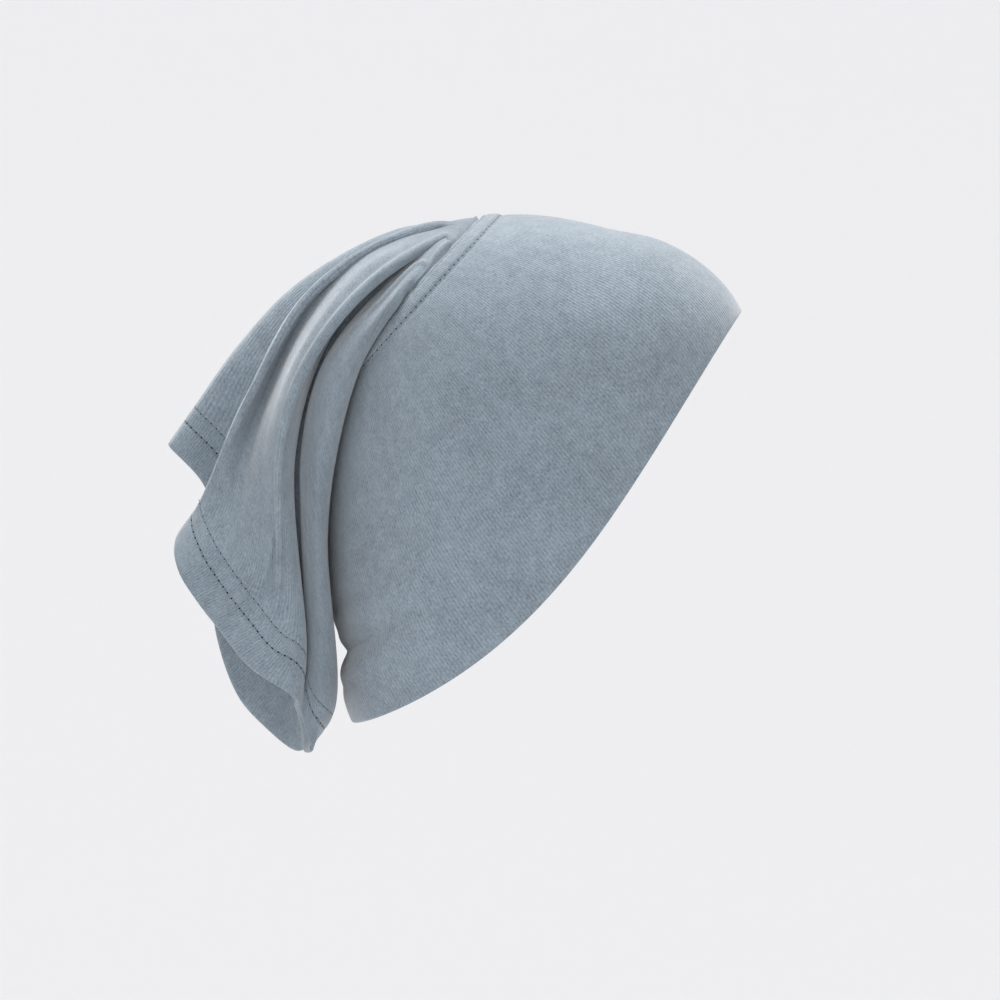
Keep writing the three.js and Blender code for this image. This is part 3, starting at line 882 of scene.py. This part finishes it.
hem_form = Form(tube_rings(HEM_COLUMNS))
hem_ends = HEM_WIDTH - HEM_GAP, HEM_WALL / 2
hem_rows = hem_form.length - np.linspace(*hem_ends, HEM_ROWS)[:, None]
hem_inner_rows = hem_form.length - np.linspace(*hem_ends, HEM_INNER_ROWS)[:, None]


def hem_height(along, around):
    """The hem's face, pulled in along its two rows of stitches."""
    from_edge = hem_form.length - along
    sunk = sum(
        bell(from_edge, row, HEM_GROOVE_DEPTH, HEM_GROOVE_HALF_WIDTH) for row in HEM_STITCH_ROWS
    )
    return DRAPE_WALL / 2 - sunk + closing_seam(from_edge, around)


hem_points = cloth_wall(hem_form, hem_rows, hem_inner_rows, DRAPE_WALL / 2 - HEM_WALL, hem_height)
bpy.ops.object.select_all(action="DESELECT")
hem = cloth_grid("drape_hem_cloth", hem_points, WALE * TUBE_WALES)
finish_piece(hem, jersey, ["drape_hem"])

# %% [markdown]
# ## The strip
#
# Where the band meets the tube their edges are turned under and stitched down by a twin needle, so a
# flat strip stands a little proud between two rows of stitches, plump between them and pulled in along
# each.

# %% Sew the strip
STRIP_STEPS_BEHIND = 12  # rings in the strip's form behind the seam, for an edge that waves back
STRIP_STEPS_AHEAD = 300
STRIP_COLUMNS = 640
STRIP_ROWS = 28
STRIP_INNER_ROWS = 3
STRIP_INNER_START = 0.4 * MM  # ahead of the seam
STRIP_INNER_HEIGHT = 0.2 * MM
STRIP_FRONT_INSET = 0.3 * MM
STRIP_LEVEL = 1.9 * MM  # the height of its face at its edges, over the head
STRIP_PLUMP = 1 * MM  # and how much higher it stands between them
STRIP_PLUMP_SHAPE = 0.35  # below 1 the face is flat on top and round at its edges
STRIP_PLUMP_BEHIND = 1 * MM  # how far behind the seam the plump form starts
STRIP_STITCHING = [(0.9 * MM, 0.3 * MM), (6.9 * MM, 0.5 * MM)]  # ahead of the seam, and groove depth
STRIP_GROOVE_HALF_WIDTH = 0.5 * MM
STRIP_WAVES = [  # times round the head, shift in radians, and height in millimetres
    (17, 0.0, 0.35), (29, 1.0, 0.2), (43, 2.0, 0.12),
]

strip_turns = np.arange(STRIP_COLUMNS) / STRIP_COLUMNS
strip_steps = STRIP_STEPS_BEHIND + STRIP_STEPS_AHEAD
strip_form = Form(wales_over_head(strip_turns, strip_steps, -STRIP_STEPS_BEHIND / STRIP_STEPS_AHEAD))
strip_seam = strip_form.travelled[STRIP_STEPS_BEHIND]


def strip_height(along, around):
    """The strip's face: plump between its rows of stitches, sunk along them."""
    ahead = along - strip_seam
    share = np.clip((ahead + STRIP_PLUMP_BEHIND) / (SEAM_WIDTH + STRIP_PLUMP_BEHIND), 0, 1)
    plump = STRIP_PLUMP * np.sin(math.pi * share) ** STRIP_PLUMP_SHAPE
    sunk = sum(bell(ahead, row, depth, STRIP_GROOVE_HALF_WIDTH) for row, depth in STRIP_STITCHING)
    return STRIP_LEVEL + plump - sunk


strip_wave = sum(
    np.sin(times * strip_turns * 2 * math.pi + shift) * high * MM for times, shift, high in STRIP_WAVES
)
strip_rows = np.linspace(0, 1, STRIP_ROWS)[:, None] * (SEAM_WIDTH - STRIP_FRONT_INSET)
strip_rows = strip_seam + strip_rows - strip_wave * (1 - strip_rows / SEAM_WIDTH)
strip_inner_rows = strip_seam + np.linspace(STRIP_INNER_START, SEAM_WIDTH, STRIP_INNER_ROWS)[:, None]
strip_points = cloth_wall(
    strip_form, strip_rows, strip_inner_rows, STRIP_INNER_HEIGHT, strip_height
)
bpy.ops.object.select_all(action="DESELECT")
strip = cloth_grid("joining_seam_cloth", strip_points, WALE * TUBE_WALES)
finish_piece(strip, jersey, ["joining_seam"])

# %% [markdown]
# ## Stitches
#
# A twin needle leaves two rows of stitches, each a thread that lies in a groove and dips into a small
# hole at every stitch, whose shade is painted as a near-black spot. One small sphere gives the form of
# both. Its copies are stretched, turned to lie along the row, and joined into one mesh of threads and
# one of painted hole shade, for the strip and for the hem. The strip shows its painted hole shade on
# the band's side only.

# %% Set the stitches
STITCH_PITCH = 3.05 * MM
# The thread is darker than the cloth. This is partly its own colour and partly painted shade of the
# groove it lies in.
THREAD_AND_GROOVE_SHADE_COLOUR = (0.15, 0.182, 0.212, 1)
# Painted shade: the shade in each needle hole is a near-black flattened sphere laid on the cloth.
NEEDLE_HOLE_SHADE_COLOUR = (0.012, 0.014, 0.018, 1)
THREAD_SIZE = (1.1 * MM, 0.2 * MM, 0.16 * MM)  # half its length, width and height
NEEDLE_HOLE_SHADE_SIZE = (0.52 * MM, 0.42 * MM, 0.16 * MM)
HEM_THREAD_HEIGHT = 0.22 * MM  # over the middle of the cloth


def stitch_places(form, distance, height):
    """Places an even pitch apart on a row that goes once round the cloth, the ways along that row
    and the ways out of the cloth."""
    points, outward, _ = form.at(distance)
    points = points[0] + outward[0] * height
    closed = np.concatenate([points, points[:1]])
    travelled = np.concatenate([[0], np.cumsum(np.linalg.norm(np.diff(closed, axis=0), axis=-1))])
    count = round(travelled[-1] / STITCH_PITCH)
    column = np.interp(np.arange(count) / count * travelled[-1], travelled, np.arange(len(closed)))
    low, share = column.astype(int), (column % 1)[:, None]
    places = closed[low] * (1 - share) + closed[low + 1] * share
    along = unit(closed[low + 1] - closed[low])
    return places, along, unit(outward[0][low])


def sphere_copies(name, frames, size, shift):
    """Small stretched spheres at the places of many stitches, joined into one mesh. shift is the
    share of a stitch that they are moved on by."""
    bpy.ops.mesh.primitive_uv_sphere_add(segments=8, ring_count=4, radius=1)
    copies = bpy.context.object
    template = np.array([vertex.co for vertex in copies.data.vertices])
    faces = [tuple(face.vertices) for face in copies.data.polygons]
    places, along, outward = (np.concatenate(parts) for parts in zip(*frames))
    places = places + along * STITCH_PITCH * shift - CROWN_HEIGHT * UP
    axes = along, unit(np.cross(outward, along)), outward
    vertices = places[:, None] + sum(
        axis[:, None] * template[None, :, part, None] * size[part] for part, axis in enumerate(axes)
    )
    steps = range(0, len(places) * len(template), len(template))
    joined = [tuple(corner + step for corner in face) for step in steps for face in faces]
    copies.data.clear_geometry()
    copies.data.from_pydata(vertices.reshape(-1, 3).tolist(), [], joined)
    bpy.ops.object.shade_smooth()
    copies.name = name
    copies.data.name = name
    return copies


# Thread material. Its dark colour carries the groove's painted shade.
thread, _, thread_surface = new_material("slate_thread_and_groove_shade", roughness=0.7, sheen=0.2)
thread_surface.inputs["Base Color"].default_value = THREAD_AND_GROOVE_SHADE_COLOUR
# The shade in each needle hole is painted with this near-black material.
needle_pit_shade, _, hole_shade_surface = new_material("needle_pit_shade", roughness=1.0)
hole_shade_surface.inputs["Base Color"].default_value = NEEDLE_HOLE_SHADE_COLOUR

strip_frames = []
for row, _ in STRIP_STITCHING:
    place = strip_seam + row
    strip_frames.append(stitch_places(strip_form, place[None], strip_height(place, 0)[:, None]))
hem_around = np.arange(HEM_COLUMNS) / HEM_COLUMNS
hem_frames = []
for row in HEM_STITCH_ROWS:
    height = HEM_THREAD_HEIGHT + closing_seam(row, hem_around)
    hem_frames.append(stitch_places(hem_form, (hem_form.length - row)[None], height[:, None]))
STITCHING = [  # name, slot, and the rows that show threads and painted needle hole shade
    ("seam", "seam_jersey", strip_frames, strip_frames[-1:]),
    ("hem", "hem_jersey", hem_frames, hem_frames),
]
for name, slot, thread_rows, hole_shade_rows in STITCHING:
    threads = sphere_copies(f"{name}_threads", thread_rows, THREAD_SIZE, shift=0.5)
    finish_piece(threads, thread)
    pit_shades = sphere_copies(f"{name}_needle_pit_shades", hole_shade_rows, NEEDLE_HOLE_SHADE_SIZE, shift=0)
    finish_piece(pit_shades, needle_pit_shade)

# %% [markdown]
# ## Size
#
# Each piece of cloth is compared with the plain wall that it stands for.

# %% Measure the cap
CLOTH_PIECES = {"headband": headband, "drape": drape, "drape_hem": hem, "joining_seam": strip}
for node, piece in CLOTH_PIECES.items():
    low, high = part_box(node)
    corners = np.array([vertex.co for vertex in piece.data.vertices])
    print(node, "stands proud by", np.round((low - Vector(corners.min(0))) / MM, 1), "and",
          np.round((Vector(corners.max(0)) - high) / MM, 1), "mm")
